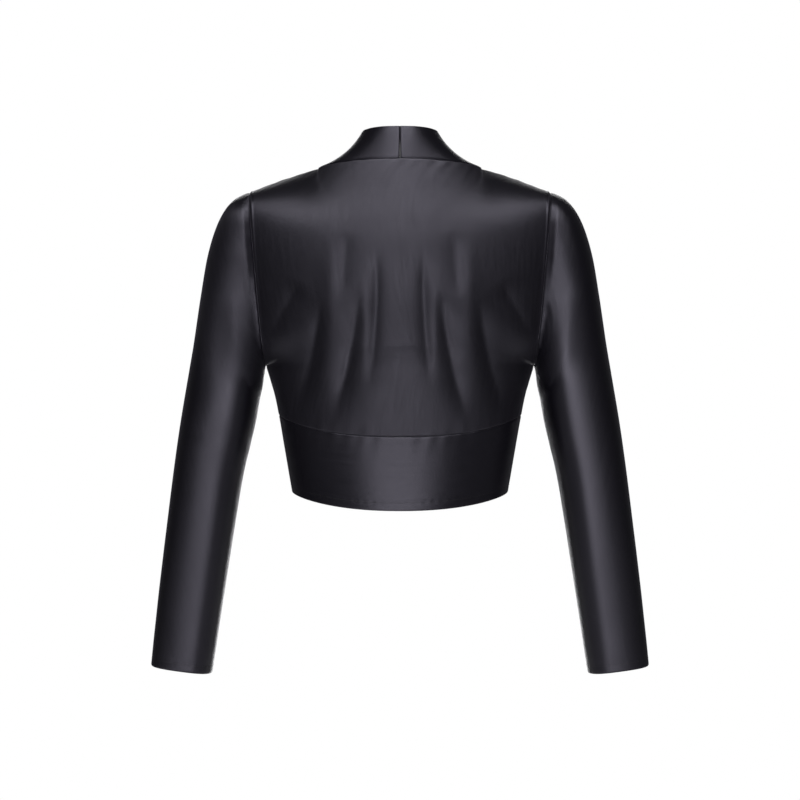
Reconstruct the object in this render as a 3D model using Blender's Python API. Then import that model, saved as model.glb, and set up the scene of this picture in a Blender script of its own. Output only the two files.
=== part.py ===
"""Bolero jacket in black satin, filled out as when it is worn, with nobody in it.

The front faces -Y, up is +Z and the wearer's left side is +X. The origin is the middle of the
neck opening, level with the top of the shoulder seams, where the wearer's shoulders carry it.
Every piece is a wall of cloth, lofted through sections that are worked out from the sizes and
short tables below. Lengths are in metres.
"""

import math

import bpy
import numpy as np

# The cloth
WALL = 0.0016
SEAM_GAP = 0.0003
LONGEST_MITRE = 1.6
SHARP_ANGLE = math.radians(50)
BLACK = (0.012, 0.011, 0.015)
SATIN_ROUGHNESS = 0.35

# Two pieces' points count as the same place on a seam when they agree to this many parts of
# a metre.
PLACES_PER_METRE = 43210

# Shoulders and neck
SHOULDER_TIP = np.array([0.1875, 0.0, -0.0310])
NECK_POINT = np.array([0.1020, 0.0, -0.0005])
NECK_SEAM_BACK = np.array([0.0, 0.0600, 0.0060])
SHOULDER_CROWN = 0.0018

# Armhole: an oval that leans in a little towards the underarm
UNDERARM = np.array([0.1672, 0.0, -0.2470])
ARMHOLE_BACK_DEPTH = 0.0560
ARMHOLE_FRONT_DEPTH = 0.0540
ARMHOLE_SQUARENESS = 0.08

# Side seams, waist seam and hem
WAIST_SEAM_SIDE = -0.3090
HEM_SIDE = -0.4050
DIP_POWER = 1.7

# How many steps each piece is built in
NECK_STEPS = 12
SHOULDER_STEPS = 12
ARMHOLE_STEPS = 12
SIDE_STEPS = 6
BAND_STEPS = 4
COLLAR_STEPS = 6

# Heights are counted in levels: 0 is the shoulder and neck line, 1 the underarm, 2 the waist
# seam and 3 the hem.
UNDERARM_LEVEL = 1.0
WAIST_LEVEL = 2.0
HEM_LEVEL = 3.0

# level, y and z of the back panel along its centre
CENTRE_BACK = [
    (0.00, 0.0600, 0.0060),
    (0.15, 0.0730, -0.0280),
    (0.35, 0.0900, -0.0720),
    (0.60, 0.1040, -0.1250),
    (0.80, 0.1090, -0.1750),
    (1.00, 0.1080, -0.2250),
    (1.35, 0.1030, -0.2640),
    (1.70, 0.0960, -0.3020),
    (2.00, 0.0900, -0.3350),
    (2.50, 0.0880, -0.3800),
    (3.00, 0.0900, -0.4240),
]

# level, x, y and z of the front panels' inner edge, where the collar is sewn on
FRONT_SEAM = [
    (0.00, 0.1020, 0.0000, -0.0005),
    (0.15, 0.1005, -0.0330, -0.0280),
    (0.35, 0.0960, -0.0670, -0.0720),
    (0.60, 0.0880, -0.0970, -0.1280),
    (0.80, 0.0820, -0.1100, -0.1750),
    (1.00, 0.0780, -0.1130, -0.2160),
    (1.50, 0.0720, -0.1040, -0.2560),
    (2.00, 0.0690, -0.0930, -0.2910),
    (3.00, 0.0670, -0.0920, -0.3890),
]

# level, y and z of the front surface on the centre line, which the front edges stop short of
CENTRE_FRONT = [
    (2.00, -0.1020, -0.2900),
    (3.00, -0.1010, -0.3880),
]

# z and x of the side seam, from the underarm to the hem
SIDE_SEAM = [
    (-0.4050, 0.1348),
    (-0.3900, 0.1388),
    (-0.3650, 0.1428),
    (-0.3400, 0.1463),
    (-0.3090, 0.1513),
    (-0.2900, 0.1553),
    (-0.2700, 0.1603),
    (-0.2470, 0.1672),
]

# level, height of the oval at the panel's edge as a part of its middle, and roundness of its
# corners
SECTION_FORM = [
    (0.00, 0.450, 1.90),
    (0.30, 0.460, 2.10),
    (0.60, 0.425, 2.25),
    (0.85, 0.335, 2.25),
    (1.00, 0.270, 2.20),
    (1.30, 0.160, 2.20),
    (1.65, 0.080, 2.20),
    (2.00, 0.050, 2.20),
    (3.00, 0.050, 2.20),
]

# The top edge's form spreads out over the back panel and has faded at this level.
TOP_FADE_LEVEL = 0.50
TOP_SPREAD = 0.90
TOP_SAMPLES = 7
TOP_WINDOW = 0.9

# The corner between armhole and side seam is rounded over this many levels in the middle of a
# panel, and less and less towards its edge.
SOFT_FROM_LEVEL = 0.30
EDGE_SPREAD = 0.80
EDGE_SAMPLES = 17
EDGE_LEAST_WEIGHT = 0.02

# place along the collar, x, y and z of its free edge, then how far it sags between seam and
# edge. Place 0 is the centre back, 1 the shoulder seam, 2 the underarm level and 3 the waist.
COLLAR_EDGE = [
    (0.00, 0.0000, 0.0500, 0.0460, -0.0010),
    (0.30, 0.0215, 0.0475, 0.0457, 0.0005),
    (0.60, 0.0390, 0.0355, 0.0445, 0.0035),
    (0.85, 0.0475, 0.0170, 0.0422, 0.0065),
    (1.00, 0.0495, 0.0000, 0.0375, 0.0070),
    (1.15, 0.0495, -0.0300, 0.0150, 0.0045),
    (1.35, 0.0450, -0.0700, -0.0380, 0.0010),
    (1.60, 0.0340, -0.1060, -0.1080, -0.0030),
    (1.80, 0.0260, -0.1200, -0.1640, -0.0035),
    (2.00, 0.0200, -0.1230, -0.2100, -0.0035),
    (2.50, 0.0160, -0.1130, -0.2530, -0.0030),
    (3.00, 0.0150, -0.1020, -0.2900, -0.0025),
]

# Sleeve sections from the armhole to the cuff: x and z of the outer edge, x and z of the inner
# edge, y of the middle, and half the depth from front to back
SLEEVE_SECTIONS = [
    (0.1875, -0.0310, 0.1672, -0.2470, 0.0000, 0.0560),
    (0.1953, -0.0330, 0.1679, -0.2482, 0.0000, 0.0566),
    (0.2041, -0.0383, 0.1685, -0.2495, 0.0000, 0.0573),
    (0.2145, -0.0493, 0.1688, -0.2510, 0.0000, 0.0582),
    (0.2243, -0.0665, 0.1691, -0.2527, 0.0000, 0.0590),
    (0.2323, -0.0865, 0.1694, -0.2546, 0.0000, 0.0595),
    (0.2388, -0.1095, 0.1697, -0.2568, 0.0000, 0.0599),
    (0.2440, -0.1345, 0.1702, -0.2594, 0.0000, 0.0603),
    (0.2486, -0.1615, 0.1706, -0.2625, 0.0000, 0.0605),
    (0.2529, -0.1905, 0.1709, -0.2665, 0.0000, 0.0606),
    (0.2573, -0.2205, 0.1717, -0.2725, 0.0000, 0.0604),
    (0.2623, -0.2500, 0.1732, -0.2805, 0.0000, 0.0599),
    (0.2670, -0.2770, 0.1764, -0.2965, -0.0005, 0.0591),
    (0.2715, -0.3030, 0.1808, -0.3190, -0.0010, 0.0578),
    (0.2758, -0.3295, 0.1866, -0.3440, -0.0020, 0.0563),
    (0.2798, -0.3565, 0.1932, -0.3700, -0.0030, 0.0543),
    (0.2836, -0.3835, 0.1987, -0.3970, -0.0045, 0.0523),
    (0.2875, -0.4125, 0.2036, -0.4260, -0.0065, 0.0503),
    (0.2915, -0.4425, 0.2086, -0.4560, -0.0090, 0.0483),
    (0.2956, -0.4725, 0.2134, -0.4860, -0.0120, 0.0463),
    (0.2996, -0.5025, 0.2182, -0.5155, -0.0155, 0.0443),
    (0.3036, -0.5325, 0.2231, -0.5455, -0.0195, 0.0428),
    (0.3073, -0.5625, 0.2280, -0.5755, -0.0235, 0.0413),
    (0.3111, -0.5935, 0.2328, -0.6060, -0.0275, 0.0403),
    (0.3146, -0.6240, 0.2376, -0.6345, -0.0315, 0.0393),
]

# The back's largest folds on one side: x and z of the upper end, x and z of the lower end,
# height (troughs are negative) and half-width
BACK_FOLDS = [
    (0.0860, -0.0900, 0.1000, -0.2950, 0.0050, 0.0110),
    (0.0600, -0.1050, 0.0800, -0.3200, -0.0055, 0.0100),
    (0.0380, -0.1300, 0.0460, -0.3000, 0.0045, 0.0090),
    (0.0230, -0.1400, 0.0250, -0.2900, -0.0050, 0.0080),
    (0.1120, -0.1800, 0.1250, -0.2950, -0.0035, 0.0110),
    (0.1280, -0.1550, 0.1570, -0.2250, -0.0030, 0.0080),
]

# The same for a front, whose soft folds rise from the waist seam
FRONT_FOLDS = [
    (0.0880, -0.2100, 0.0820, -0.2900, 0.0030, 0.0070),
    (0.1060, -0.1900, 0.0990, -0.2950, -0.0035, 0.0080),
    (0.1260, -0.2050, 0.1180, -0.2980, 0.0030, 0.0080),
    (0.1300, -0.1500, 0.1560, -0.2200, -0.0030, 0.0080),
]

# A sleeve's largest folds: turn and station of the upper end, turn and station of the lower
# end, height and half-width
SLEEVE_FOLDS = [
    (1.40, 2.0, 1.12, 14.0, -0.0035, 0.0090),
    (1.26, 3.0, 1.06, 12.0, 0.0028, 0.0075),
    (1.04, 12.0, 1.32, 16.0, -0.0030, 0.0075),
    (0.60, 3.0, 0.86, 15.0, -0.0035, 0.0090),
    (0.96, 12.0, 0.66, 17.0, -0.0030, 0.0080),
]
SLEEVE_HALF_ROUND = 0.160
SLEEVE_FOLD_START = 1.5

# Rows of the table over which a sleeve leaves the armhole's own line
SLEEVE_HOLD_ROWS = 2.0

# How a fold fades, as shares of its length: over its upper end, over its lower end, and how
# far past the lower end it reaches
FOLD_UPPER_FADE = 0.35
FOLD_LOWER_FADE = 0.30
FOLD_REACH = 1.06


def along(table, at):
    """Read a table's other columns at a value of its first, on a smooth curve."""
    rows = np.array(table, dtype=float)
    keys = rows[:, 0]
    values = rows[:, 1:]
    slopes = np.gradient(values, keys, axis=0)
    at = np.clip(np.asarray(at, dtype=float), keys[0], keys[-1])
    start = np.clip(np.searchsorted(keys, at, side="right") - 1, 0, len(keys) - 2)
    step = (keys[start + 1] - keys[start])[..., None]
    share = (at - keys[start])[..., None] / step
    rise = share * share * (3 - 2 * share)
    leave = share * (1 - share) ** 2
    arrive = share * share * (share - 1)
    between = values[start] * (1 - rise) + values[start + 1] * rise
    return between + step * (leave * slopes[start] + arrive * slopes[start + 1])


def unit(vector):
    """The same direction with length 1."""
    return vector / np.linalg.norm(vector, axis=-1, keepdims=True)


def ease(value):
    """Go smoothly from 0 to 1."""
    value = np.clip(value, 0.0, 1.0)
    return value * value * (3 - 2 * value)


def point(x, y, z):
    """Join coordinates into points."""
    return np.stack(np.broadcast_arrays(x, y, z), axis=-1)


def armhole(level, facing):
    """Points of the armhole, from the shoulder tip at level 0 to the underarm at level 1."""
    angle = math.pi * np.clip(level, 0.0, 1.0)
    lean = (1 + np.cos(angle)) / 2
    depth = ARMHOLE_BACK_DEPTH if facing > 0 else ARMHOLE_FRONT_DEPTH
    oval = np.sin(angle) + ARMHOLE_SQUARENESS * np.sin(3 * angle)
    x = UNDERARM[0] + (SHOULDER_TIP[0] - UNDERARM[0]) * lean
    z = UNDERARM[2] + (SHOULDER_TIP[2] - UNDERARM[2]) * lean
    return point(x, facing * depth * oval, z)


def outer_edge(level, facing):
    """Points of a panel's outer edge: the armhole, then the side seam down to the hem."""
    level = np.asarray(level, dtype=float)
    to_waist = np.clip(level - UNDERARM_LEVEL, 0.0, 1.0)
    to_hem = np.clip(level - WAIST_LEVEL, 0.0, 1.0)
    z = UNDERARM[2] + (WAIST_SEAM_SIDE - UNDERARM[2]) * to_waist
    z = z + (HEM_SIDE - WAIST_SEAM_SIDE) * to_hem
    x = along(SIDE_SEAM, z)[..., 0]
    side = point(x, 0.0, z)
    return np.where((level < UNDERARM_LEVEL)[..., None], armhole(level, facing), side)


def oval_rise(share, form):
    """Height of a flattened oval over its span, 1 in the middle."""
    power = form[..., 1]
    size = (1 - form[..., 0] ** power) ** (1 / power)
    reach = np.clip(size * share, 0.0, 1.0)
    return (1 - reach ** power) ** (1 / power)


def soft_edge(level, share, facing):
    """The outer edge, its corners rounded more and more away from it."""
    room = np.clip(np.minimum(level - SOFT_FROM_LEVEL, HEM_LEVEL - level), 0.0, None)
    spread = np.minimum(EDGE_SPREAD * (1 - share), room)
    steps = np.linspace(-1.0, 1.0, EDGE_SAMPLES)
    weights = np.cos(steps * math.pi / 2) ** 2 + EDGE_LEAST_WEIGHT
    total = sum(weight * outer_edge(level + spread * step, facing)
                for step, weight in zip(steps, weights))
    return total / weights.sum()


def section(level, share, facing, inner):
    """Points across a panel. The share is x as a part of the outer edge's x."""
    level, share = np.broadcast_arrays(np.asarray(level, dtype=float), share)
    edge = outer_edge(level, facing)
    soft = soft_edge(level, np.clip(share, 0.0, 1.0), facing)
    form = along(SECTION_FORM, level)
    start = inner[..., 0] / edge[..., 0]
    foot = oval_rise(1.0, form)
    bulge = (oval_rise(share, form) - foot) / (oval_rise(start, form) - foot)
    x = edge[..., 0] * share
    y = soft[..., 1] + (inner[..., 1] - soft[..., 1]) * bulge
    slant = (1 - share) / (1 - start)
    dip = np.clip(bulge, 0.0, 1.0) ** DIP_POWER
    lower = ease(level / UNDERARM_LEVEL)
    z = soft[..., 2] + (inner[..., 2] - soft[..., 2]) * (slant + (dip - slant) * lower)
    return point(x, y, z)


def shoulder_seam(share):
    """Points of the shoulder seam, from the neck point to the shoulder tip."""
    share = np.asarray(share, dtype=float)[..., None]
    line = NECK_POINT + (SHOULDER_TIP - NECK_POINT) * share
    bow = SHOULDER_CROWN * np.sin(math.pi * share)
    return line + bow * np.array([0.0, 0.0, 1.0])


def neck_seam(share):
    """Points of the back neck seam, from the centre back to the neck point."""
    angle = math.pi / 2 * np.asarray(share, dtype=float)
    x = NECK_POINT[0] * np.sin(angle)
    y = NECK_SEAM_BACK[1] * np.cos(angle)
    z = NECK_SEAM_BACK[2] * np.cos(angle) ** 2
    return point(x, y, z)


def back_columns():
    """Shares of the panel's width, with a column exactly on the neck point."""
    neck = NECK_POINT[0] / SHOULDER_TIP[0]
    inner = np.linspace(0.0, neck, NECK_STEPS + 1)
    outer = np.linspace(neck, 1.0, SHOULDER_STEPS + 1)
    return inner, outer


def top_shift(share):
    """How far the cut top edge lies from the drawn section, continued past both ends."""
    within = np.abs(share)
    past_tip = within > 1.0
    within = np.where(past_tip, 2.0 - within, within)
    start = np.array(CENTRE_BACK[0][1:])
    level = np.zeros_like(within)
    drawn = section(level, within, 1, point(0.0 * within, start[0], start[1]))
    neck = NECK_POINT[0] / SHOULDER_TIP[0]
    on_neck = neck_seam(np.clip(within / neck, 0.0, 1.0))
    on_shoulder = shoulder_seam(np.clip((within - neck) / (1 - neck), 0.0, 1.0))
    cut = np.where((within < neck)[..., None], on_neck, on_shoulder)
    shift = cut - drawn
    shift[..., 0] *= np.where(share < 0.0, -1.0, 1.0)
    return shift * np.where(past_tip, -1.0, 1.0)[..., None]


def back_surface(level, share):
    """Points of the back on its +X half, without folds."""
    level, share = np.broadcast_arrays(level, share)
    centre = along(CENTRE_BACK, level)
    body = section(level, share, 1, point(0.0 * level, centre[..., 0], centre[..., 1]))
    steps = np.linspace(-1.0, 1.0, TOP_SAMPLES)
    weights = np.cos(steps * math.pi / 2 * TOP_WINDOW)
    spread = TOP_SPREAD * np.clip(level, 0.0, TOP_FADE_LEVEL)
    shift = sum(weight * top_shift(share + spread * step) for step, weight in zip(steps, weights))
    fade = np.clip(1 - level / TOP_FADE_LEVEL, 0.0, 1.0) ** 2
    return body + shift / weights.sum() * fade[..., None]


def front_surface(level, share):
    """Points of a front on the +X side. Share 0 is the collar seam and 1 the outer edge."""
    level, share = np.broadcast_arrays(level, share)
    seam = along(FRONT_SEAM, level)
    edge = outer_edge(level, -1)
    start = seam[..., 0] / edge[..., 0]
    body = section(level, start + (1 - start) * share, -1, seam)
    straight = NECK_POINT + (SHOULDER_TIP - NECK_POINT) * share[..., None]
    bow = shoulder_seam(share) - straight
    fade = np.clip(1 - level / TOP_FADE_LEVEL, 0.0, 1.0) ** 3
    return body + bow * fade[..., None]


def collar_surface(place, across):
    """Points of the collar on the +X side. Across is 0 on the seam and 1 on the free edge."""
    place, across = np.broadcast_arrays(place, across)
    around_neck = neck_seam(np.clip(place, 0.0, 1.0))
    down_front = along(FRONT_SEAM, np.clip(place - 1.0, 0.0, WAIST_LEVEL))
    seam = np.where((place < 1.0)[..., None], around_neck, down_front)
    rule = along(COLLAR_EDGE, place)
    free = rule[..., :3]
    sag = rule[..., 3]
    ahead = collar_direction(place)
    rib = free - seam
    inward = np.cross(ahead, rib)
    inward = inward / np.linalg.norm(inward, axis=-1, keepdims=True)
    hang = (4 * across * (1 - across) * sag)[..., None]
    return seam + rib * across[..., None] + inward * hang


def collar_direction(place):
    """Unit vectors along the collar's free edge, from the centre back to the waist."""
    nudge = 0.01
    later = along(COLLAR_EDGE, place + nudge)[..., :3]
    sooner = along(COLLAR_EDGE, place - nudge)[..., :3]
    ahead = later - sooner
    return ahead / np.linalg.norm(ahead, axis=-1, keepdims=True)


def sleeve_surface(station, turn):
    """Points of the sleeve on the +X side.

    The station counts the rows of the table. The turn runs from 0 on the outer edge over the
    front to 1 on the inner edge, and over the back to 2.
    """
    station, turn = np.broadcast_arrays(station, turn)
    rows = [(number,) + row for number, row in enumerate(SLEEVE_SECTIONS)]
    read = along(rows, station)
    outer = read[..., (0, 1)]
    inner = read[..., (2, 3)]
    angle = math.pi * turn
    lean = (1 + np.cos(angle)) / 2
    middle = inner + (outer - inner) * lean[..., None]
    oval = np.sin(angle) + ARMHOLE_SQUARENESS * np.sin(3 * angle)
    y = read[..., 4] - read[..., 5] * oval
    tube = point(middle[..., 0], y, middle[..., 1])
    level = np.where(turn > 1.0, 2.0 - turn, turn)
    back = armhole(level, 1)
    front = armhole(level, -1)
    seam = np.where((turn > 1.0)[..., None], back, front)
    hold = np.clip(1 - station / SLEEVE_HOLD_ROWS, 0.0, 1.0)[..., None]
    return tube + (seam - tube) * hold


def fold_height(across, down, folds):
    """Height of soft folds, each along a line, fading at both ends."""
    relief = np.zeros_like(across)
    for top_across, top_down, low_across, low_down, height, half_width in folds:
        share = (down - top_down) / (low_down - top_down)
        line = top_across + (low_across - top_across) * share
        length = ease(share / FOLD_UPPER_FADE) * ease((FOLD_REACH - share) / FOLD_LOWER_FADE)
        relief = relief + height * length * np.exp(-(((across - line) / half_width) ** 2))
    return relief


def raised(grid, height, closed=False):
    """The grid moved outwards by a height, but for its edges."""
    if closed:
        padded = np.concatenate([grid[:, -1:], grid, grid[:, :1]], axis=1)
        down = np.gradient(padded, axis=0)[:, 1:-1]
        across = np.gradient(padded, axis=1)[:, 1:-1]
    else:
        down = np.gradient(grid, axis=0)
        across = np.gradient(grid, axis=1)
    inside = np.zeros(grid.shape[:2])
    columns = np.s_[:] if closed else np.s_[1:-1]
    inside[1:-1, columns] = 1.0
    return grid + unit(np.cross(across, down)) * (height * inside)[..., None]


def sleeve_relief(station, turn):
    """Height of a sleeve's folds."""
    folds = [
        (top_turn * SLEEVE_HALF_ROUND, top_station, low_turn * SLEEVE_HALF_ROUND, low_station,
         height, half_width)
        for top_turn, top_station, low_turn, low_station, height, half_width in SLEEVE_FOLDS
    ]
    free = ease((station - SLEEVE_FOLD_START) / SLEEVE_FOLD_START)
    return fold_height(turn * SLEEVE_HALF_ROUND, station, folds) * free


def mirrored(grid):
    """The other side's grid, with its faces still outwards."""
    return (grid * np.array([-1.0, 1.0, 1.0]))[:, ::-1]


def both_halves(grid):
    """One grid over the whole width, from a half that starts on the centre line."""
    return np.concatenate([mirrored(grid), grid[:, 1:]], axis=1)


def make_grids():
    """Outer points of every piece, in rows from top to bottom, faces outwards."""
    armhole_levels = np.linspace(0.0, UNDERARM_LEVEL, ARMHOLE_STEPS + 1)
    side_levels = np.linspace(UNDERARM_LEVEL, WAIST_LEVEL, SIDE_STEPS + 1)
    levels = np.concatenate([armhole_levels, side_levels[1:]])
    neck_shares, shoulder_shares = back_columns()
    shares = np.concatenate([neck_shares, shoulder_shares[1:]])
    back = both_halves(back_surface(levels[:, None], shares[None, :]))
    back = raised(back, fold_height(np.abs(back[..., 0]), back[..., 2], BACK_FOLDS))
    front_shares = np.linspace(1.0, 0.0, SHOULDER_STEPS + 1)
    front = front_surface(levels[:, None], front_shares[None, :])
    front = raised(front, fold_height(front[..., 0], front[..., 2], FRONT_FOLDS))
    places = np.concatenate([np.linspace(0.0, 1.0, NECK_STEPS + 1), 1.0 + levels[1:]])
    across = np.linspace(1.0, 0.0, COLLAR_STEPS + 1)
    collar = collar_surface(places[None, :], across[:, None])

    drops = np.linspace(0.0, 1.0, BAND_STEPS + 1)
    hem = back_surface(np.array([HEM_LEVEL]), shares)
    waist = back_surface(np.array([WAIST_LEVEL]), shares)
    pull = along(CENTRE_BACK, WAIST_LEVEL + drops)[:, 0]
    straight = pull[0] + (pull[-1] - pull[0]) * drops
    band_back = waist + (hem - waist) * drops[:, None, None]
    band_back[..., 1] += (pull - straight)[:, None] * (1 - shares ** 2)

    top_row = np.concatenate([front[-1], collar[::-1, -1][1:]])
    waist_x = outer_edge(np.array(WAIST_LEVEL), -1)[0]
    hem_shares = top_row[:, 0] / waist_x
    centre = along(CENTRE_FRONT, HEM_LEVEL)
    hem_front = section(np.full_like(hem_shares, HEM_LEVEL), hem_shares, -1,
                        point(np.zeros_like(hem_shares), centre[0], centre[1]))
    band_front = top_row + (hem_front - top_row) * drops[:, None, None]

    stations = np.arange(len(SLEEVE_SECTIONS), dtype=float)
    turns = np.linspace(0.0, 2.0, 2 * ARMHOLE_STEPS + 1)[:-1]
    sleeve = sleeve_surface(stations[:, None], turns[None, :])
    sleeve = raised(sleeve, sleeve_relief(stations[:, None], turns[None, :]), closed=True)

    return {
        "back": back,
        "front_left": front,
        "front_right": mirrored(front),
        "collar_left": collar,
        "collar_right": mirrored(collar),
        "band_back": both_halves(band_back),
        "band_front_left": band_front,
        "band_front_right": mirrored(band_front),
        "sleeve_left": sleeve,
        "sleeve_right": mirrored(sleeve),
    }


# Edges of each piece's grid that are sewn to a neighbour
SEWN = {
    "back": ("top", "bottom", "first", "last"),
    "front_left": ("top", "bottom", "first", "last"),
    "front_right": ("top", "bottom", "first", "last"),
    "collar_left": ("bottom", "first", "last"),
    "collar_right": ("bottom", "first", "last"),
    "band_back": ("top", "first", "last"),
    "band_front_left": ("top", "first"),
    "band_front_right": ("top", "last"),
    "sleeve_left": ("top",),
    "sleeve_right": ("top",),
}
TUBES = ("sleeve_left", "sleeve_right")


def grid_faces(rows, columns, closed):
    """Corner numbers of a grid's quads, in the order that faces outwards."""
    faces = []
    across = columns if closed else columns - 1
    for row in range(rows - 1):
        for column in range(across):
            after = (column + 1) % columns
            here = row * columns
            below = here + columns
            faces.append((here + column, here + after, below + after, below + column))
    return faces


def corner_key(place):
    """A name for a place, the same for the pieces that are sewn together there."""
    return tuple(int(round(value * PLACES_PER_METRE)) for value in place)


def own_normals(grid, closed):
    """Unit normals at a grid's points, from the faces round each."""
    rows, columns = grid.shape[:2]
    points = grid.reshape(-1, 3)
    sums = np.zeros_like(points)
    for face in grid_faces(rows, columns, closed):
        a, b, c, d = (points[number] for number in face)
        sums[list(face)] += np.cross(c - a, d - b)
    return unit(sums).reshape(grid.shape)


def seam_normals(grids):
    """Normals gathered at each place. The body's pieces count as one where a sleeve joins."""
    gathered = {}
    for name, grid in grids.items():
        tube = name in TUBES
        normals = own_normals(grid, tube).reshape(-1, 3)
        for place, normal in zip(grid.reshape(-1, 3), normals):
            pair = gathered.setdefault(corner_key(place), ([], []))
            pair[tube].append(normal)
    return gathered


def wall_directions(grid, gathered):
    """Outward directions that neighbours share, and how much longer a mitred wall is."""
    directions = np.zeros_like(grid)
    mitres = np.ones(grid.shape[:2])
    for row, column in np.ndindex(grid.shape[:2]):
        pair = gathered[corner_key(grid[row, column])]
        around = np.array(pair[0] + pair[1])
        mean = sum(unit(np.sum(side, axis=0)) for side in pair if side)
        mean = unit(mean)
        smallest = max(float((around @ mean).min()), 1 / LONGEST_MITRE)
        directions[row, column] = mean
        mitres[row, column] = 1 / smallest
    return directions, mitres


def gap_moves(grid, directions, sewn, closed):
    """Moves that draw the sewn edges half a gap away from the plane of the seam."""
    moves = np.zeros_like(grid)
    edges = {
        "top": (np.s_[0], np.s_[1]),
        "bottom": (np.s_[-1], np.s_[-2]),
        "first": (np.s_[:, 0], np.s_[:, 1]),
        "last": (np.s_[:, -1], np.s_[:, -2]),
    }
    for edge in sewn:
        here, beside = edges[edge]
        line = grid[here]
        if closed:
            run = np.roll(line, -1, axis=0) - np.roll(line, 1, axis=0)
        else:
            run = np.gradient(line, axis=0)
        away = unit(np.cross(run, directions[here]))
        inside = (away * (grid[beside] - line)).sum(axis=-1, keepdims=True)
        moves[here] += away * np.sign(inside) * SEAM_GAP / 2
    return moves


def cloth_wall(name, grid, gathered, material, collection):
    """Make one piece: its outer points, the same points moved in, and the rims between."""
    closed = name in TUBES
    directions, mitres = wall_directions(grid, gathered)
    moves = gap_moves(grid, directions, SEWN[name], closed)
    outer = grid + moves
    inner = outer - directions * (WALL * mitres)[..., None]
    rows, columns = grid.shape[:2]
    count = rows * columns
    outside = grid_faces(rows, columns, closed)
    faces = list(outside)
    faces += [tuple(number + count for number in reversed(face)) for face in outside]
    across = columns if closed else columns - 1
    for column in range(across):
        after = (column + 1) % columns
        low = (rows - 1) * columns
        faces.append((after, column, column + count, after + count))
        faces.append((low + column, low + after, low + after + count, low + column + count))
    if not closed:
        for row in range(rows - 1):
            left = row * columns
            right = left + columns - 1
            below = left + columns
            faces.append((left, below, below + count, left + count))
            faces.append((right + columns, right, right + count, right + columns + count))
    mesh = bpy.data.meshes.new(name)
    points = np.concatenate([outer.reshape(-1, 3), inner.reshape(-1, 3)])
    mesh.from_pydata([tuple(map(float, place)) for place in points], [], faces)
    mesh.materials.append(material)
    mesh.shade_smooth()
    mesh.set_sharp_from_angle(angle=SHARP_ANGLE)
    piece = bpy.data.objects.new(name, mesh)
    collection.objects.link(piece)
    split = piece.modifiers.new("Flat faces", "TRIANGULATE")
    split.quad_method = "SHORTEST_DIAGONAL"
    return piece


def satin(name, colour, roughness):
    """Black satin with a soft shine."""
    material = bpy.data.materials.new(name)
    material.use_nodes = True
    shader = material.node_tree.nodes["Principled BSDF"]
    shader.inputs["Base Color"].default_value = (*colour, 1.0)
    shader.inputs["Roughness"].default_value = roughness
    shader.inputs["Metallic"].default_value = 0.0
    return material


def main():
    """Clear the scene and build the jacket."""
    for item in list(bpy.data.objects):
        bpy.data.objects.remove(item, do_unlink=True)
    collection = bpy.data.collections.new("bolero_jacket")
    bpy.context.scene.collection.children.link(collection)
    grids = make_grids()
    gathered = seam_normals(grids)
    cloth = satin("black_satin", BLACK, SATIN_ROUGHNESS)
    for name, grid in grids.items():
        cloth_wall(name, grid, gathered, cloth, collection)


main()
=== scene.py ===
# %% [markdown]
# # A bolero jacket in black satin
# The jacket is short, with long set-in sleeves, a deep waistband and a shawl collar that stands
# up behind the neck and runs down both front edges. It is filled out as when it is worn. Each
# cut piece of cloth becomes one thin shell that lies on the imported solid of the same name, so
# the seams fall where the maker would sew them.

# %% Load the fixed frame
import math

import bpy
import numpy as np
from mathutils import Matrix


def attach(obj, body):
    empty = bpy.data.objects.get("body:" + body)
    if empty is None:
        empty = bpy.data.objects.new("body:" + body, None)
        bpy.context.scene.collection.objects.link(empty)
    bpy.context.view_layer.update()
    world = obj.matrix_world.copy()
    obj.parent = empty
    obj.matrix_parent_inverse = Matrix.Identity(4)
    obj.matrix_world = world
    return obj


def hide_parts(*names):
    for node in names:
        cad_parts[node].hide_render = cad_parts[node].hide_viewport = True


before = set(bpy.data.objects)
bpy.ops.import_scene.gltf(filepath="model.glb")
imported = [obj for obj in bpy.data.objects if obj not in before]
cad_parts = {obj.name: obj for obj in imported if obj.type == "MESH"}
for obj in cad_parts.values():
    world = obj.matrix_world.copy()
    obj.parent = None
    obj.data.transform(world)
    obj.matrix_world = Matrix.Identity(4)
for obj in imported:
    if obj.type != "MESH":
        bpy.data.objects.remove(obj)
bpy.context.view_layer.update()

print("nodes:", ", ".join(sorted(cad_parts)))

# %% [markdown]
# ## The measures of the jacket
# A pattern cutter works from a few body measures: shoulder width, armhole depth, back length
# and sleeve length. The same few numbers place every piece here. Lengths are in metres, the
# front faces -Y, up is +Z, and +X is the wearer's left. Heights on the body are counted in
# levels: 0 is the shoulder and neck line, 1 the underarm, 2 the waist seam and 3 the hem.

# %% Driving measures
SHOULDER_TIP = np.array([0.1875, 0.0, -0.0310])
NECK_POINT = np.array([0.1020, 0.0, -0.0005])
NECK_SHARE = NECK_POINT[0] / SHOULDER_TIP[0]
NECK_SEAM_BACK = np.array([0.0, 0.0600, 0.0060])
SHOULDER_CROWN = 0.0018
UNDERARM = np.array([0.1672, 0.0, -0.2470])
ARMHOLE_BACK_DEPTH = 0.0560
ARMHOLE_FRONT_DEPTH = 0.0540
ARMHOLE_SQUARENESS = 0.08
WAIST_SEAM_SIDE = -0.3090
HEM_SIDE = -0.4050
DIP_POWER = 1.7
UNDERARM_LEVEL, WAIST_LEVEL, HEM_LEVEL = 1.0, 2.0, 3.0

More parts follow.
